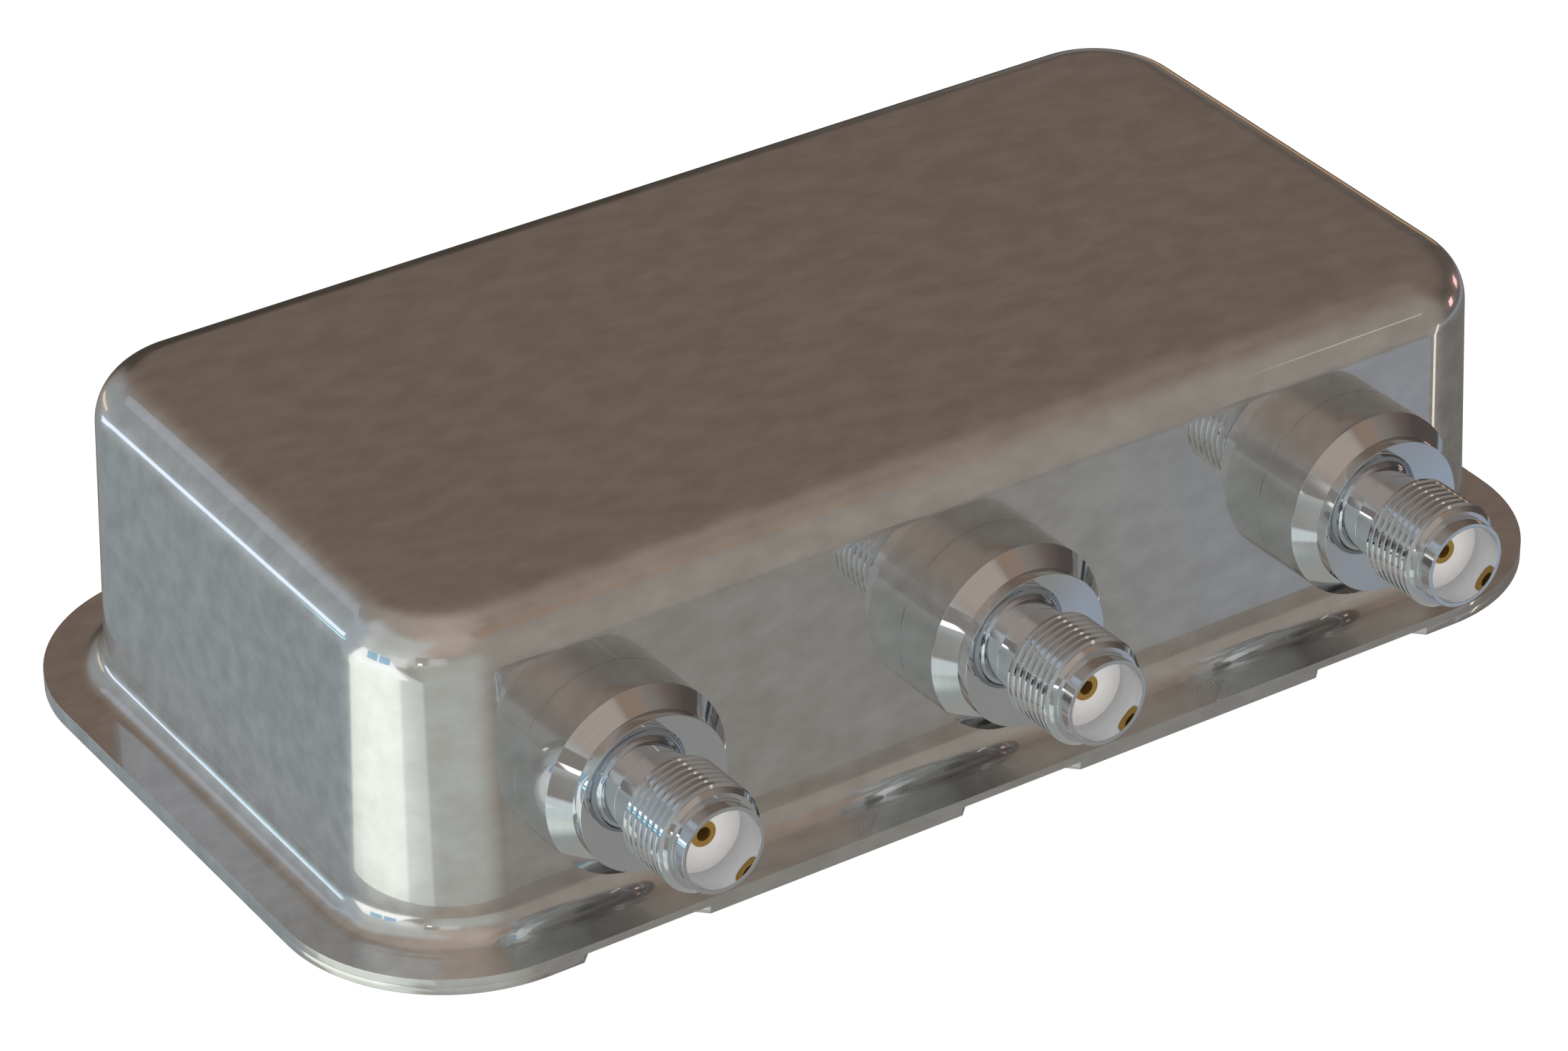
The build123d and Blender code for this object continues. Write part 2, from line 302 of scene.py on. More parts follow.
def base_plate():
    """Flat plate of the flange's outline, with a notch under each jack in its front edge."""
    outline = rounded_loop(plate_high.x, plate_high.y, FLANGE_CORNER)
    front_start = 3 * (CORNER_STEPS + 1)
    notches = []
    for number in JACKS:
        middle = MOUNTS[f"jack_thread_{number}"]["pos_m"][0]
        wide, narrow = NOTCH_HALF_WIDTH, NOTCH_HALF_WIDTH - NOTCH_DEPTH
        notches += [(middle - wide, plate_low.y), (middle - narrow, plate_low.y + NOTCH_DEPTH),
                    (middle + narrow, plate_low.y + NOTCH_DEPTH), (middle + wide, plate_low.y)]
    outline[front_start:front_start] = notches
    bm = bmesh.new()
    low = [bm.verts.new((x, y, plate_low.z)) for x, y in outline]
    high = [bm.verts.new((x, y, plate_high.z)) for x, y in outline]
    bm.faces.new(low)
    bm.faces.new(high)
    bridge(bm, low, high)
    plate = object_from("flat_base", bm)
    bevel = plate.modifiers.new("eased_edges", "BEVEL")
    bevel.width = SHEET_EDGE_ROUND
    bevel.segments = 3
    bevel.limit_method = "ANGLE"
    bevel.angle_limit = SHARP_ANGLE
    return crisp(baked(plate))


def jack_blank():
    """A jack as it leaves the lathe, before its thread is cut."""
    edge = TURNED_EDGE
    cone_end = COLLAR_LAND + COLLAR_RADIUS - COLLAR_FACE_RADIUS
    corners = [
        (REAR_BORE_RADIUS, SPIGOT_END, 0), (SPIGOT_RADIUS, SPIGOT_END, edge), (SPIGOT_RADIUS, 0, 0),
        (COLLAR_RADIUS, 0, edge), (COLLAR_RADIUS, COLLAR_LAND, edge),
        (COLLAR_FACE_RADIUS, cone_end, 0), (COLLAR_FACE_RADIUS, COLLAR_LENGTH, edge),
        (NECK_RADIUS, COLLAR_LENGTH, edge), (NECK_RADIUS, THREAD_START, NECK_COVE),
        (THREAD_RADIUS, THREAD_START, edge), (THREAD_RADIUS, THREAD_END - THREAD_LEAD_IN, 0),
        (LEAD_IN_RADIUS, THREAD_END, edge), (NOSE_RADIUS, THREAD_END, edge),
        (NOSE_RADIUS, NOSE_END, edge), (BORE_RADIUS, NOSE_END, edge), (BORE_RADIUS, INSULATOR_FACE, 0),
        (RELIEF_RADIUS, INSULATOR_FACE, 0), (RELIEF_RADIUS, RELIEF_START, 0),
        (BORE_RADIUS, RELIEF_START, 0), (BORE_RADIUS, REAR_BORE_REACH, 0),
        (REAR_BORE_RADIUS, REAR_BORE_REACH, 0),
    ]
    return object_from("jack_blank", turned_mesh(rounded_path(corners), closed=True))


def thread_tree(metal):
    """Geometry nodes that cut a helical groove into a blank that stands along Z."""
    tree = bpy.data.node_groups.new("cut_thread", "GeometryNodeTree")
    face = tree.interface
    face.new_socket("Geometry", in_out="OUTPUT", socket_type="NodeSocketGeometry")
    face.new_socket("Blank", in_out="INPUT", socket_type="NodeSocketGeometry")
    names = ("Pitch", "Turns", "Start Height", "Path Radius", "Groove Height", "Root Width", "Mouth Width")
    for name in names:
        face.new_socket(name, in_out="INPUT", socket_type="NodeSocketFloat")
    face.new_socket("Steps per Turn", in_out="INPUT", socket_type="NodeSocketInt")
    add = tree.nodes.new
    link = tree.links.new
    given = add("NodeGroupInput").outputs
    rise = add("ShaderNodeMath")
    rise.operation = "MULTIPLY"
    link(given["Pitch"], rise.inputs[0])
    link(given["Turns"], rise.inputs[1])
    spiral = add("GeometryNodeCurveSpiral")
    spiral.inputs["Reverse"].default_value = True
    link(given["Steps per Turn"], spiral.inputs["Resolution"])
    link(given["Turns"], spiral.inputs["Rotations"])
    link(given["Path Radius"], spiral.inputs["Start Radius"])
    link(given["Path Radius"], spiral.inputs["End Radius"])
    link(rise.outputs[0], spiral.inputs["Height"])
    upright = add("GeometryNodeSetCurveNormal")
    upright.mode = "Z_UP"
    link(spiral.outputs["Curve"], upright.inputs["Curve"])
    section = add("GeometryNodeCurvePrimitiveQuadrilateral")
    section.mode = "TRAPEZOID"
    link(given["Groove Height"], section.inputs["Height"])
    link(given["Root Width"], section.inputs["Bottom Width"])
    link(given["Mouth Width"], section.inputs["Top Width"])
    section.inputs["Offset"].default_value = 0
    turned = add("GeometryNodeTransform")
    turned.inputs["Rotation"].default_value = (0, 0, math.radians(-90))
    link(section.outputs["Curve"], turned.inputs["Geometry"])
    sweep = add("GeometryNodeCurveToMesh")
    sweep.inputs["Fill Caps"].default_value = True
    link(upright.outputs["Curve"], sweep.inputs["Curve"])
    link(turned.outputs["Geometry"], sweep.inputs["Profile Curve"])
    lift = add("ShaderNodeCombineXYZ")
    link(given["Start Height"], lift.inputs["Z"])
    placed = add("GeometryNodeTransform")
    link(sweep.outputs["Mesh"], placed.inputs["Geometry"])
    link(lift.outputs["Vector"], placed.inputs["Translation"])
    boolean = add("GeometryNodeMeshBoolean")
    boolean.operation = "DIFFERENCE"
    boolean.solver = "EXACT"
    link(given["Blank"], boolean.inputs["Mesh 1"])
    link(placed.outputs["Geometry"], boolean.inputs["Mesh 2"])
    realize = add("GeometryNodeRealizeInstances")
    link(boolean.outputs["Mesh"], realize.inputs["Geometry"])
    coat = add("GeometryNodeSetMaterial")
    coat.inputs["Material"].default_value = metal
    link(realize.outputs["Geometry"], coat.inputs["Geometry"])
    out = add("NodeGroupOutput")
    link(coat.outputs["Geometry"], out.inputs["Geometry"])
    return tree


def set_inputs(modifier, **values):
    """Sets a geometry nodes modifier's inputs by their names."""
    for item in modifier.node_group.interface.items_tree:
        if item.item_type == "SOCKET" and item.in_out == "INPUT" and item.name in values:
            modifier[item.identifier] = values[item.name]


def threaded_jack(metal):
    """One jack along Z, with its thread cut; the three jacks are copies of it."""
    blank = jack_blank()
    spare = 0.12 * MM
    height = GROOVE_DEPTH + spare
    root_turns = 1.0
    groove_at_start = CREST_AT_START - PITCH / 2 - root_turns * PITCH
    turns = (THREAD_END - groove_at_start) / PITCH + root_turns
    cutter = blank.modifiers.new("thread", "NODES")
    cutter.node_group = thread_tree(metal)
    set_inputs(cutter, **{
        "Pitch": PITCH, "Turns": turns, "Start Height": groove_at_start,
        "Path Radius": THREAD_RADIUS + spare - height / 2, "Groove Height": height,
        "Root Width": GROOVE_ROOT, "Mouth Width": GROOVE_ROOT + 2 * height * math.tan(GROOVE_HALF_ANGLE),
        "Steps per Turn": STEPS_PER_TURN,
    })
    return crisp(baked(blank))


def insulator_mesh():
    corners = [
        (PIN_RADIUS, SPIGOT_END, 0), (REAR_BORE_RADIUS, SPIGOT_END, 0),
        (REAR_BORE_RADIUS, REAR_BORE_REACH, 0), (BORE_RADIUS, REAR_BORE_REACH, 0),
        (BORE_RADIUS, INSULATOR_FACE, 0), (CONTACT_RADIUS, INSULATOR_FACE, 0),
        (CONTACT_RADIUS, CONTACT_REAR, 0), (PIN_RADIUS, CONTACT_REAR, 0),
    ]
    return turned_mesh(rounded_path(corners), closed=True)


def contact_mesh():
    floor = CONTACT_FACE - SOCKET_DEPTH
    corners = [
        (0, PIN_END, 0), (PIN_RADIUS, PIN_END, PIN_ROUND), (PIN_RADIUS, CONTACT_REAR, 0),
        (CONTACT_RADIUS, CONTACT_REAR, 0), (CONTACT_RADIUS, CONTACT_FACE, TURNED_EDGE),
        (SOCKET_MOUTH, CONTACT_FACE, TURNED_EDGE),
        (SOCKET_RADIUS, CONTACT_FACE - (SOCKET_MOUTH - SOCKET_RADIUS), 0),
        (SOCKET_RADIUS, floor, 0), (0, floor, 0),
    ]
    return turned_mesh(rounded_path(corners), closed=False)


# Finishes

BLOTCH_SLANT = (0, 35, 33)
BLOTCH_STRETCH = (0.6, 1.0, 1.0)
MASK_LOW = 0.3
MASK_HIGH = 0.7
DULL_UNDER_SKIN = (0.25, 0.32)
SKIN_GLOSS = 0.005


def group_tree(name, inputs, outputs):
    """An empty shader node group with named sockets, and its input and output nodes."""
    tree = bpy.data.node_groups.new(name, "ShaderNodeTree")
    for label, value in inputs:
        socket = tree.interface.new_socket(label, in_out="INPUT", socket_type="NodeSocketFloat")
        socket.default_value = value
    for label, kind in outputs:
        tree.interface.new_socket(label, in_out="OUTPUT", socket_type=kind)
    return tree, tree.nodes.new("NodeGroupInput").outputs, tree.nodes.new("NodeGroupOutput").inputs


def feed(tree, socket, value):
    """Links a socket, or sets its constant."""
    if isinstance(value, bpy.types.NodeSocket):
        tree.links.new(value, socket)
    else:
        socket.default_value = value


def maths(tree, operation, *values):
    node = tree.nodes.new("ShaderNodeMath")
    node.operation = operation
    for socket, value in zip(node.inputs, values):
        feed(tree, socket, value)
    return node.outputs[0]


def noise(tree, place, scale, detail=2.0, roughness=0.5):
    node = tree.nodes.new("ShaderNodeTexNoise")
    feed(tree, node.inputs["Vector"], place)
    feed(tree, node.inputs["Scale"], scale)
    node.inputs["Detail"].default_value = detail
    node.inputs["Roughness"].default_value = roughness
    return node.outputs["Fac"]


def cloud_group():
    """Soft slanting blotches and a fine grain, as on tinned sheet: a mask around a half."""
    tree, given, out = group_tree(
        "cloudy_bloom", [("Blotch Size", 1.4 * MM), ("Grain Size", 0.5 * MM), ("Grain Share", 0.12)],
        [("Mask", "NodeSocketFloat")],
    )
    slant = tree.nodes.new("ShaderNodeMapping")
    tree.links.new(tree.nodes.new("ShaderNodeTexCoord").outputs["Object"], slant.inputs["Vector"])
    slant.inputs["Rotation"].default_value = [math.radians(turn) for turn in BLOTCH_SLANT]
    slant.inputs["Scale"].default_value = BLOTCH_STRETCH
    blotch = noise(tree, slant.outputs["Vector"], maths(tree, "DIVIDE", 1, given["Blotch Size"]), 2.0, 0.5)
    grain = noise(tree, slant.outputs["Vector"], maths(tree, "DIVIDE", 1, given["Grain Size"]), 1.0)
    mixed = maths(tree, "MULTIPLY_ADD", grain, given["Grain Share"], blotch)
    total = maths(tree, "ADD", given["Grain Share"], 1.0)
    tree.links.new(maths(tree, "DIVIDE", mixed, total), out["Mask"])
    return tree


def place_group(tree, group, **values):
    node = tree.nodes.new("ShaderNodeGroup")
    node.node_tree = group
    for name, value in values.items():
        feed(tree, node.inputs[name.replace("_", " ")], value)
    return node.outputs


def spread(tree, mask, low, high):
    """A mask turned into a value between two limits."""
    node = tree.nodes.new("ShaderNodeMapRange")
    feed(tree, node.inputs["Value"], mask)
    node.inputs["From Min"].default_value = MASK_LOW
    node.inputs["From Max"].default_value = MASK_HIGH
    node.inputs["To Min"].default_value = low
    node.inputs["To Max"].default_value = high
    return node.outputs["Result"]


def tinted(tree, mask, dark, light):
    node = tree.nodes.new("ShaderNodeMix")
    node.data_type = "RGBA"
    feed(tree, node.inputs["Factor"], spread(tree, mask, 0, 1))
    node.inputs["A"].default_value = (*dark, 1)
    node.inputs["B"].default_value = (*light, 1)
    return node.outputs["Result"]


def new_material(name):
    material = bpy.data.materials.new(name)
    material.use_nodes = True
    return material, material.node_tree, material.node_tree.nodes["Principled BSDF"].inputs


def marks_group(name, stretch, detail):
    """Fine marks that run round or along a piece, as a mask and a height."""
    tree, given, out = group_tree(name, [("Mark Size", 0.2 * MM)],
                                  [("Mask", "NodeSocketFloat"), ("Height", "NodeSocketFloat")])
    scale = tree.nodes.new("ShaderNodeMapping")
    tree.links.new(tree.nodes.new("ShaderNodeTexCoord").outputs["Object"], scale.inputs["Vector"])
    scale.inputs["Scale"].default_value = stretch
    marks = noise(tree, scale.outputs["Vector"], maths(tree, "DIVIDE", 1, given["Mark Size"]), detail)
    tree.links.new(marks, out["Mask"])
    tree.links.new(marks, out["Height"])
    return tree


def bands_group(name, axes):
    """Even ridges at a pitch, as of wire turns or woven glass, as a mask and a height."""
    tree, given, out = group_tree(name, [("Pitch", 0.2 * MM)],
                                  [("Mask", "NodeSocketFloat"), ("Height", "NodeSocketFloat")])
    split = tree.nodes.new("ShaderNodeSeparateXYZ")
    tree.links.new(tree.nodes.new("ShaderNodeTexCoord").outputs["Object"], split.inputs[0])
    height = None
    for axis in axes:
        turn = maths(tree, "MULTIPLY", maths(tree, "DIVIDE", split.outputs[axis], given["Pitch"]), math.pi)
        ridge = maths(tree, "ABSOLUTE", maths(tree, "SINE", turn))
        height = ridge if height is None else maths(tree, "MULTIPLY", height, ridge)
    tree.links.new(maths(tree, "MULTIPLY_ADD", height, MASK_HIGH - MASK_LOW, MASK_LOW), out["Mask"])
    tree.links.new(height, out["Height"])
    return tree


def plain_finish(name, marks, dark, light, dull, metallic=0.0, relief=0.0, **sizes):
    """A finish whose colour and gloss follow one group of marks, with a relief where it has one."""
    material, tree, shader = new_material(name)
    placed = place_group(tree, marks, **sizes)
    shader["Metallic"].default_value = metallic
    feed(tree, shader["Base Color"], tinted(tree, placed["Mask"], dark, light))
    feed(tree, shader["Roughness"], spread(tree, placed["Mask"], *dull))
    if relief:
        bump = tree.nodes.new("ShaderNodeBump")
        bump.inputs["Distance"].default_value = relief
        feed(tree, bump.inputs["Height"], placed["Height"])
        feed(tree, shader["Normal"], bump.outputs["Normal"])
    return material


def skinned_finish(name, marks, dark, light, skin=4.2):
    """Dull metal under a clear skin: a sharp reflection over a cloudy one."""
    material = plain_finish(name, marks, dark, light, DULL_UNDER_SKIN, 1.0)
    shader = material.node_tree.nodes["Principled BSDF"].inputs
    shader["Coat Weight"].default_value = 1
    shader["Coat Roughness"].default_value = SKIN_GLOSS
    shader["Coat IOR"].default_value = skin
    return material


def dress(obj, material, node):
    """Gives a finished piece its material and puts it in its node's place."""
    obj.data.materials.clear()
    obj.data.materials.append(material)
    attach(obj, "root")
    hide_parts(node)


# Camera, light and floor

CAMERA_PLACE = Vector((-163.75, -251.07, 192.08)) * MM
CAMERA_TURN = math.radians(33.029)
CAMERA_DIP = math.radians(31.888)
CAMERA_ROLL = math.radians(-0.686)
LENS_PIXELS = 8566.4
PHOTO_WIDTH = 2194
FLOOR_HALF = 3.0
FLOOR_GAP = 0.02 * MM
FLOOR_GREY = 0.3
FLOOR_GLOW = 0.9


def photo_camera():
    forth = Vector((math.sin(CAMERA_TURN), math.cos(CAMERA_TURN), 0))
    level = Vector((math.cos(CAMERA_TURN), -math.sin(CAMERA_TURN), 0))
    ahead = math.cos(CAMERA_DIP) * forth - math.sin(CAMERA_DIP) * Vector((0, 0, 1))
    upright = level.cross(ahead)
    right = math.cos(CAMERA_ROLL) * level + math.sin(CAMERA_ROLL) * upright
    up = math.cos(CAMERA_ROLL) * upright - math.sin(CAMERA_ROLL) * level
    lens = bpy.data.cameras.new("camera")
    lens.sensor_fit = "HORIZONTAL"
    lens.sensor_width = 36
    lens.lens = LENS_PIXELS / PHOTO_WIDTH * lens.sensor_width
    lens.clip_start = 0.01
    lens.clip_end = 50
    camera = bpy.data.objects.new("camera", lens)
    bpy.context.scene.collection.objects.link(camera)
    camera.matrix_world = Matrix.Translation(CAMERA_PLACE) @ Matrix((right, up, -ahead)).transposed().to_4x4()
    bpy.context.scene.camera = camera


# The room that the polished metal shows: soft panels, laid over each other in this order.
# Each has its middle's azimuth from +Y towards +X and its elevation, half its width and
# height, its soft edge, its lean, how much it widens downwards, and its light. Angles are
# in degrees. The lights began with a least-squares fit to the photo. ROOM, ceiling, dim_wall,
# dark_corner, pale_corner, right_wall, pale_wall, arch_near and near_floor still have the
# rounded ones of that fit; the others were changed or set one by one.
SOFT_LIGHT = (1.12, 1.12, 1.12)
ROOM = (0.30, 0.27, 0.24)
PANELS = [
    ("ceiling", 20, 90, 400, 30, 40, 0, 0, (0.45, 0.38, 0.33)),
    ("nadir", 0, -90, 400, 50, 30, 0, 0, (0.41, 0.41, 0.375)),
    ("back_ceiling", -152, 48, 42, 24, 26, 0, 0, (0.51, 0.425, 0.36)),
    ("warm_wall", 60, 38, 62, 26, 40, 0, 0, (0.2, 0.15, 0.12)),
    ("dim_wall", 66, 1, 52, 23, 24, 0, 0, (0.11, 0.09, 0.08)),
    ("dark_corner", 20, 1, 12, 19, 10, 0, 0, (0.06, 0.05, 0.04)),
    ("pale_corner", 38, 2, 7, 9, 6, 0, 0, (0.26, 0.23, 0.21)),
    ("right_wall", 152, 0, 30, 40, 24, 0, 0, (0.33, 0.30, 0.27)),
    ("side_floor", 85, -38, 75, 15, 14, 0, 0, (0.18, 0.17, 0.16)),
    ("back_wall", -158, -14, 30, 32, 22, 0, 0, (0.48, 0.50, 0.47)),
    ("pale_vault", -92, 40, 42, 15, 14, 0, -0.7, (0.54, 0.55, 0.54)),
    ("pale_wall", -92, 18, 44, 12, 14, 0, 0, (0.61, 0.64, 0.62)),
    ("arch_near", -52, 2, 14, 36, 12, 0, 0, (0.41, 0.47, 0.51)),
    ("arch_far", -20, 8, 20, 22, 14, 0, 0, (0.34, 0.365, 0.38)),
    ("warm_ceiling", 148, 53, 16, 8, 10, 0, 0, (0.35, 0.25, 0.19)),
    ("high_sky", -34, 32, 22, 3, 3, 12, 0, (0.47, 0.51, 0.57)),
    ("near_floor", -22, -32, 24, 14, 12, 0, 0, (0.29, 0.33, 0.35)),
    ("near_left_floor", -152, -52, 42, 14, 14, 0, 0, (0.40, 0.42, 0.40)),
    ("left_floor", -93, -39, 30, 12, 14, 0, 0.15, (0.84, 0.9, 0.82)),
    ("window_wing", -98, -22, 27, 15, 4, 0, 0.9, (0.75, 0.81, 0.78)),
    ("window_head", -108, 8, 10, 9, 8, 0, 0, (0.85, 0.88, 0.86)),
    ("window", -86, -8, 24, 18, 4, 0, 0.52, (1.38, 1.42, 1.40)),
    ("window_pane_a", -96.2, 3.5, 5.6, 6.5, 0.6, 0, 0, (0.25, 0.52, 0.80)),
    ("window_pane_b", -83.2, 3.5, 5.6, 6.5, 0.6, 0, 0, (0.22, 0.58, 0.78)),
    ("floor_light", -80, -24, 27, 9, 5, 0, 0.4, (1.22, 1.3, 1.2)),
    ("side_window", -33, -4.2, 14, 2.6, 1, -27, 0, (1.4, 1.6, 1.9)),
    ("side_sill", -45.5, -3.2, 4, 0.9, 0.8, -27, 0, (0.8, 1.7, 1.8)),
    ("far_light", -12, -3, 11, 2, 1.2, -25, 0, (1.20, 1.00, 0.75)),
    ("warm_lamps", 47, -6, 6, 2.5, 1, 0, 0, (0.90, 0.55, 0.28)),
    ("red_window_a", 79, -2.5, 3.5, 4, 1.2, 0, 0, (2.20, 1.30, 1.20)),
    ("red_window_b", 101, -2.5, 3.5, 4, 1.2, 0, 0, (2.20, 1.40, 1.30)),
    ("skirting", 92, -18, 36, 2.8, 2.5, 0, 0, (0.30, 0.34, 0.39)),
    ("lamp_shade", -132, 16, 7, 8, 2, 0, 0, (0.3, 0.27, 0.24)),
    ("lamp", -130, 10, 2.1, 1.9, 1.2, 0, 0, (2.5, 2.4, 2.25)),
    ("shelf", -146, 15, 8, 7, 6, 0, 0, (0.66, 0.65, 0.62)),
    ("door_floor", 149, -32, 9, 8, 9, 0, 0, (0.285, 0.28, 0.26)),
    ("blue_patch", 137.5, -28.5, 6.5, 2.5, 5, 0, 0, (0.34, 0.385, 0.455)),
    ("slim_lamp", 143, 20, 2.1, 1, 1.2, 0, 0, (0.85, 0.76, 0.66)),
    ("door_light", 125, -23, 1.6, 9, 1.2, 0, 0, (1.70, 1.60, 1.40)),
]


def panel_group():
    """Mask of one soft-edged panel, by direction."""
    names = ("Azimuth", "Elevation", "Middle Azimuth", "Middle Elevation", "Half Width", "Half Height",
             "Edge", "Lean", "Flare")
    sockets = [(name, 0.0) for name in names]
    tree, given, out = group_tree("soft_panel", sockets, [("Mask", "NodeSocketFloat")])
    apart = maths(tree, "SUBTRACT", given["Azimuth"], given["Middle Azimuth"])
    across = maths(tree, "WRAP", apart, 180, -180)
    level = maths(tree, "SUBTRACT", given["Elevation"], given["Middle Elevation"])
    flared = maths(tree, "MULTIPLY_ADD", level, given["Flare"], maths(tree, "ABSOLUTE", across))
    upward = maths(tree, "ABSOLUTE", maths(tree, "MULTIPLY_ADD", across, given["Lean"], level))
    masks = []
    for distance, half in ((flared, given["Half Width"]), (upward, given["Half Height"])):
        ramp = tree.nodes.new("ShaderNodeMapRange")
        ramp.interpolation_type = "SMOOTHSTEP"
        feed(tree, ramp.inputs["Value"], distance)
        feed(tree, ramp.inputs["From Min"], half)
        feed(tree, ramp.inputs["From Max"], maths(tree, "ADD", half, given["Edge"]))
        ramp.inputs["To Min"].default_value = 1
        ramp.inputs["To Max"].default_value = 0
        masks.append(ramp.outputs["Result"])
    tree.links.new(maths(tree, "MULTIPLY", *masks), out["Mask"])
    return tree


def world_mix(tree, factor, below, above, label):
    """Lays one colour over another where the factor is one, without a limit on brightness."""
    node = tree.nodes.new("ShaderNodeMix")
    node.data_type = "RGBA"
    node.label = label
    feed(tree, node.inputs["Factor"], factor)
    for name, value in (("A", below), ("B", above)):
        feed(tree, node.inputs[name], (*value, 1) if isinstance(value, tuple) else value)
    return node.outputs["Result"]


def backdrop(tree, colour):
    node = tree.nodes.new("ShaderNodeBackground")
    feed(tree, node.inputs["Color"], (*colour, 1) if isinstance(colour, tuple) else colour)
    return node.outputs[0]


def either(tree, factor, first, second):
    """The second shader where the factor is one, else the first."""
    node = tree.nodes.new("ShaderNodeMixShader")
    for socket, value in zip(node.inputs, (factor, first, second)):
        feed(tree, socket, value)
    return node.outputs[0]


def room_part(tree, panel, azimuth, elevation, start, end):
    """The room between two azimuths: only the panels that reach into that part."""
    colour = ROOM
    for name, turn, rise, wide, high, edge, lean, flare, light in PANELS:
        reach = wide + edge + abs(flare) * (high + edge)
        middle, half = (start + end) / 2, (end - start) / 2
        if abs((turn - middle + 180) % 360 - 180) > reach + half:
            continue
        mask = place_group(tree, panel, Azimuth=azimuth, Elevation=elevation, Middle_Azimuth=turn,
                           Middle_Elevation=rise, Half_Width=wide - edge / 2, Half_Height=high - edge / 2,
                           Edge=edge, Lean=-math.tan(math.radians(lean)), Flare=flare)
        colour = world_mix(tree, mask["Mask"], colour, light, name)
    return backdrop(tree, colour)


def studio():
    """Soft panels all round for the metal, plain light for the rest, a white backdrop for the camera."""
    world = bpy.data.worlds.new("studio")
    bpy.context.scene.world = world
    world.use_nodes = True
    world.cycles.sampling_method = "NONE"
    tree = world.node_tree
    split = tree.nodes.new("ShaderNodeSeparateXYZ")
    tree.links.new(tree.nodes.new("ShaderNodeTexCoord").outputs["Generated"], split.inputs[0])
    x, y, z = split.outputs
    azimuth = maths(tree, "DEGREES", maths(tree, "ARCTAN2", x, y))
    elevation = maths(tree, "DEGREES", maths(tree, "ARCSINE", z))
    panel = panel_group()
    ends = (-180, -60, 0, 180)
    parts = [room_part(tree, panel, azimuth, elevation, *span) for span in zip(ends, ends[1:])]
    room = parts[-1]
    for part, end in zip(reversed(parts[:-1]), reversed(ends[1:-1])):
        room = either(tree, maths(tree, "LESS_THAN", azimuth, end), room, part)
    path = tree.nodes.new("ShaderNodeLightPath").outputs
    mirrored = maths(tree, "MAXIMUM", path["Is Glossy Ray"], path["Is Transmission Ray"])
    lit = either(tree, mirrored, backdrop(tree, SOFT_LIGHT), room)
    seen = either(tree, path["Is Camera Ray"], lit, backdrop(tree, (1.0, 1.0, 1.0)))
    tree.links.new(seen, tree.nodes["World Output"].inputs["Surface"])


def floor():
    """A plain pale floor that keeps the part's shadow, and isn't there for a camera below it."""
    mesh = bpy.data.meshes.new("floor")
    corners = [(x * FLOOR_HALF, y * FLOOR_HALF, plate_low.z - FLOOR_GAP)
               for x, y in ((-1, -1), (1, -1), (1, 1), (-1, 1))]
    mesh.from_pydata(corners, [], [(0, 1, 2, 3)])
    obj = bpy.data.objects.new("floor", mesh)
    bpy.context.scene.collection.objects.link(obj)
    material, tree, shader = new_material("pale_floor")
    shader["Base Color"].default_value = (FLOOR_GREY, FLOOR_GREY, FLOOR_GREY, 1)
    shader["Roughness"].default_value = 1
    shader["Specular IOR Level"].default_value = 0
    shader["Emission Color"].default_value = (1, 1, 1, 1)
    shader["Emission Strength"].default_value = FLOOR_GLOW
    below = tree.nodes.new("ShaderNodeNewGeometry").outputs["Backfacing"]
    clear = tree.nodes.new("ShaderNodeBsdfTransparent").outputs[0]
    seen = either(tree, below, tree.nodes["Principled BSDF"].outputs[0], clear)
    tree.links.new(seen, tree.nodes["Material Output"].inputs["Surface"])
    mesh.materials.append(material)
    obj.visible_glossy = False
    obj.visible_diffuse = False


# Marks and finishes of this object's pieces
cloud = cloud_group()
turning = marks_group("turning_marks", (0.03, 1.0, 0.03), 1.0)
drawing = marks_group("rolling_marks", (0.04, 1.0, 1.0), 2.0)
speckle = marks_group("pressed_grain", (1.0, 1.0, 1.0), 3.0)
turns = bands_group("wire_turns", "Z")
weave = bands_group("glass_weave", "XY")

can_steel = skinned_finish("tinned_steel", cloud, (0.49, 0.465, 0.44), (0.69, 0.68, 0.67))
# The collar's steel is dull under a clear skin, and its colour, much darker than the rest of the jack's, is
# painted shade.
collar_painted_shade = skinned_finish("dull_steel_painted_shade", cloud, (0.20, 0.225, 0.25), (0.235, 0.26, 0.285), 4.4)
jack_metal = plain_finish("turned_steel", turning, (0.63, 0.65, 0.68), (0.66, 0.68, 0.71), (0.015, 0.04), 1.0,
                          Mark_Size=0.12 * MM)
# The flat faces that face out along the jack get the jack's steel painted lighter, with the same gloss and
# marks: a painted highlight.
flat_face_painted_light = plain_finish("steel_painted_light", turning, (0.76, 0.79, 0.83), (0.79, 0.82, 0.86), (0.015, 0.04), 1.0,
                           Mark_Size=0.12 * MM)
insulator_white = plain_finish("white_fluoropolymer", speckle, (0.91, 0.88, 0.86), (0.95, 0.92, 0.90),
                               (0.38, 0.5), Mark_Size=0.4 * MM)
contact_gold = plain_finish("gold_plate", turning, (0.55, 0.33, 0.08), (0.61, 0.37, 0.10), (0.34, 0.44), 0.7,
                            Mark_Size=0.1 * MM)
bright_solder = plain_finish("tin_solder", speckle, (0.66, 0.66, 0.65), (0.74, 0.74, 0.73), (0.12, 0.3), 1.0,
                             relief=0.02 * MM, Mark_Size=0.5 * MM)
green_laminate = plain_finish("coated_laminate", weave, (0.02, 0.085, 0.035), (0.04, 0.13, 0.06), (0.3, 0.42),
                              relief=0.01 * MM, Pitch=0.45 * MM)
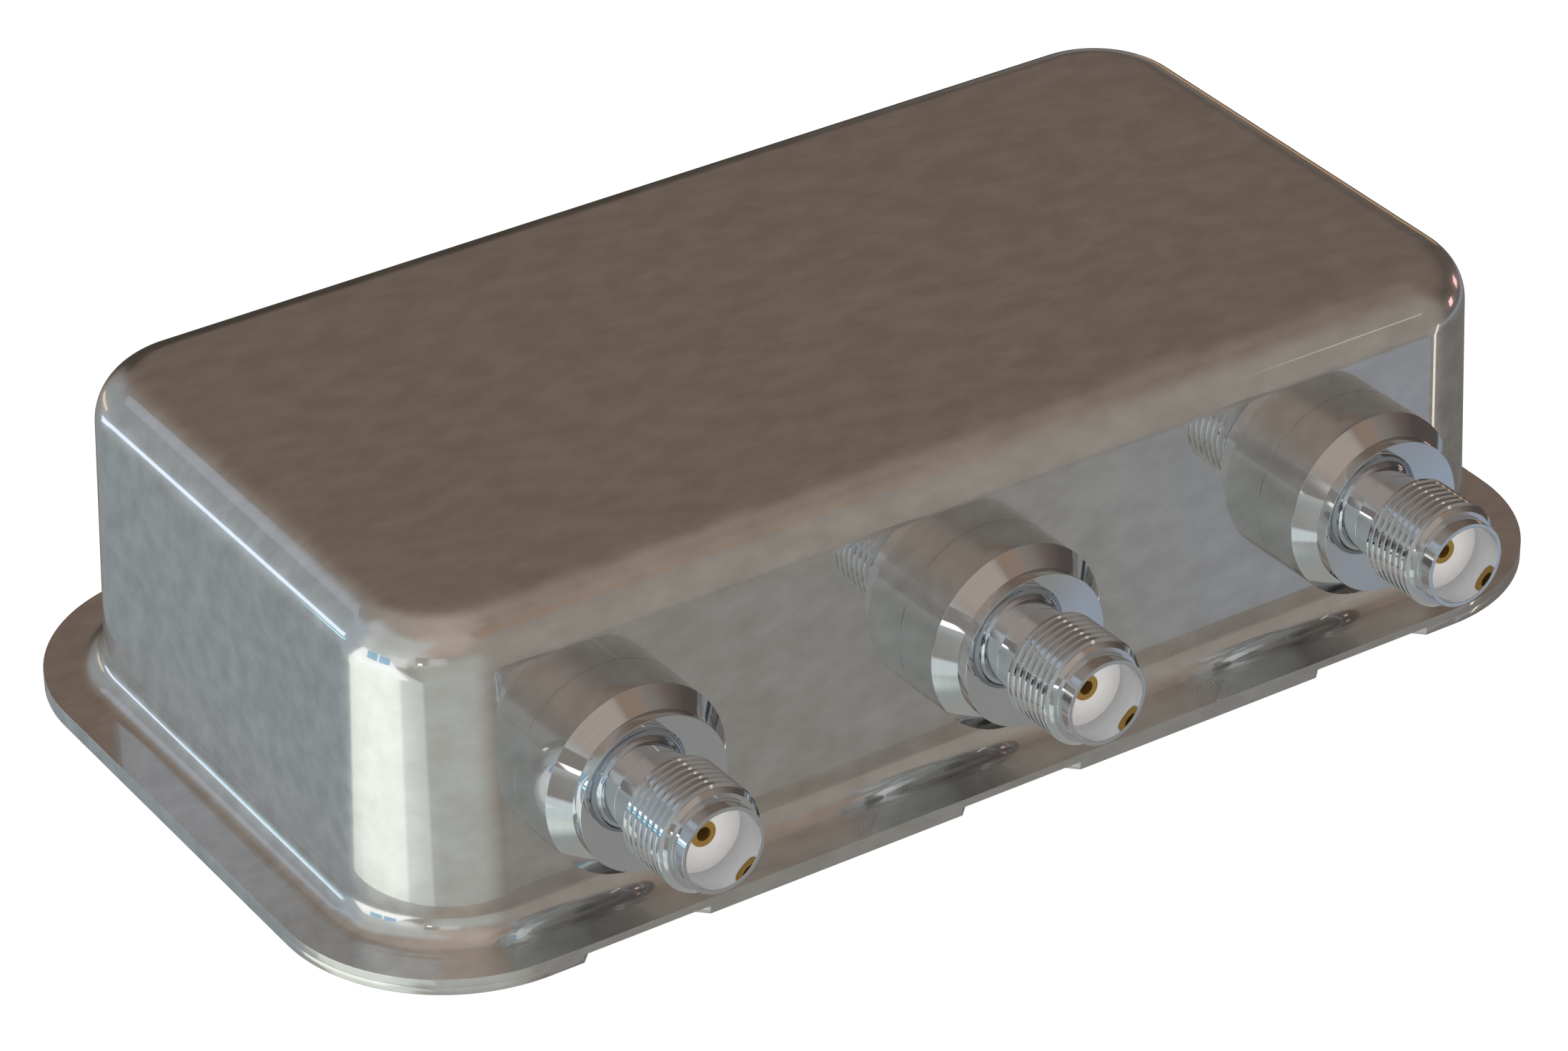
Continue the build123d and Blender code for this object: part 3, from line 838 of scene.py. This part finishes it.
pillar_brass = plain_finish("turned_brass", turning, (0.70, 0.53, 0.24), (0.80, 0.64, 0.32), (0.18, 0.3), 1.0,
                            Mark_Size=0.15 * MM)
screw_zinc = plain_finish("zinc_plate", speckle, (0.52, 0.53, 0.55), (0.64, 0.65, 0.67), (0.22, 0.36), 1.0,
                          Mark_Size=0.3 * MM)
tinplate = plain_finish("rolled_tinplate", drawing, (0.58, 0.58, 0.57), (0.68, 0.68, 0.67), (0.2, 0.34), 1.0,
                        Mark_Size=0.25 * MM)
ferrite = plain_finish("pressed_ferrite", speckle, (0.012, 0.012, 0.013), (0.03, 0.03, 0.032), (0.5, 0.7),
                       relief=0.01 * MM, Mark_Size=0.15 * MM)
copper_wire = plain_finish("enamelled_copper", turns, (0.30, 0.09, 0.03), (0.62, 0.24, 0.10),
                           (0.15, 0.28), 0.8, relief=0.08 * MM, Pitch=0.2 * MM)
ceramic = plain_finish("fired_ceramic", speckle, (0.34, 0.22, 0.12), (0.44, 0.30, 0.17), (0.32, 0.46),
                       Mark_Size=0.2 * MM)

# Inner pieces keep their solids and get a finish
for node, material in (
    ("jack_solder_rings", bright_solder), ("filter_board", green_laminate), ("board_pillars", pillar_brass),
    ("board_screws", screw_zinc), ("screen_wall", tinplate), ("lowpass_coil_cores", ferrite),
    ("highpass_coil_cores", ferrite), ("lowpass_coil_windings", copper_wire),
    ("highpass_coil_windings", copper_wire), ("lowpass_capacitors", ceramic),
    ("highpass_capacitors", ceramic),
):
    kept = frame["nodes"][node].data
    kept.materials.clear()
    kept.materials.append(material)

# Can, base and jacks
dress(housing_can(), can_steel, "housing_can")
dress(base_plate(), can_steel, "base_plate")
master = threaded_jack(jack_metal)
# The collar's cylinder, which gets the steel with painted shade.
collar_faces = [
    face.index for face in master.data.polygons
    if 0 < face.center.z < COLLAR_LAND and abs(face.center.xy.length - COLLAR_RADIUS) < ON_FACE
]
# Faces that face out along the axis, which get the steel with painted light.
flat_faces = [
    face.index for face in master.data.polygons
    if face.normal.z > FLAT_FACE
    and (face.center.z > THREAD_END or abs(face.center.z - COLLAR_LENGTH) < ON_FACE)
]
for number in JACKS:
    seat = jack_seat(number)
    mesh = master.data.copy()
    mesh.transform(seat)
    jack = bpy.data.objects.new(f"threaded_jack_{number}", mesh)
    bpy.context.scene.collection.objects.link(jack)
    dress(jack, jack_metal, f"jack_body_{number}")
    for material, faces in ((collar_painted_shade, collar_faces), (flat_face_painted_light, flat_faces)):
        mesh.materials.append(material)
        for face in faces:
            mesh.polygons[face].material_index = len(mesh.materials) - 1
    for name, shape, material, slot, node in (
        ("white_insulator", insulator_mesh, insulator_white, "insulator", "jack_insulator"),
        ("gold_contact", contact_mesh, contact_gold, "contact_gold", "centre_contact"),
    ):
        bm = shape()
        bm.transform(seat)
        dress(crisp(object_from(f"{name}_{number}", bm)), material, f"{node}_{number}")
bpy.data.objects.remove(master)

photo_camera()
studio()
floor()

view = bpy.context.scene.view_settings
view.view_transform = "Standard"
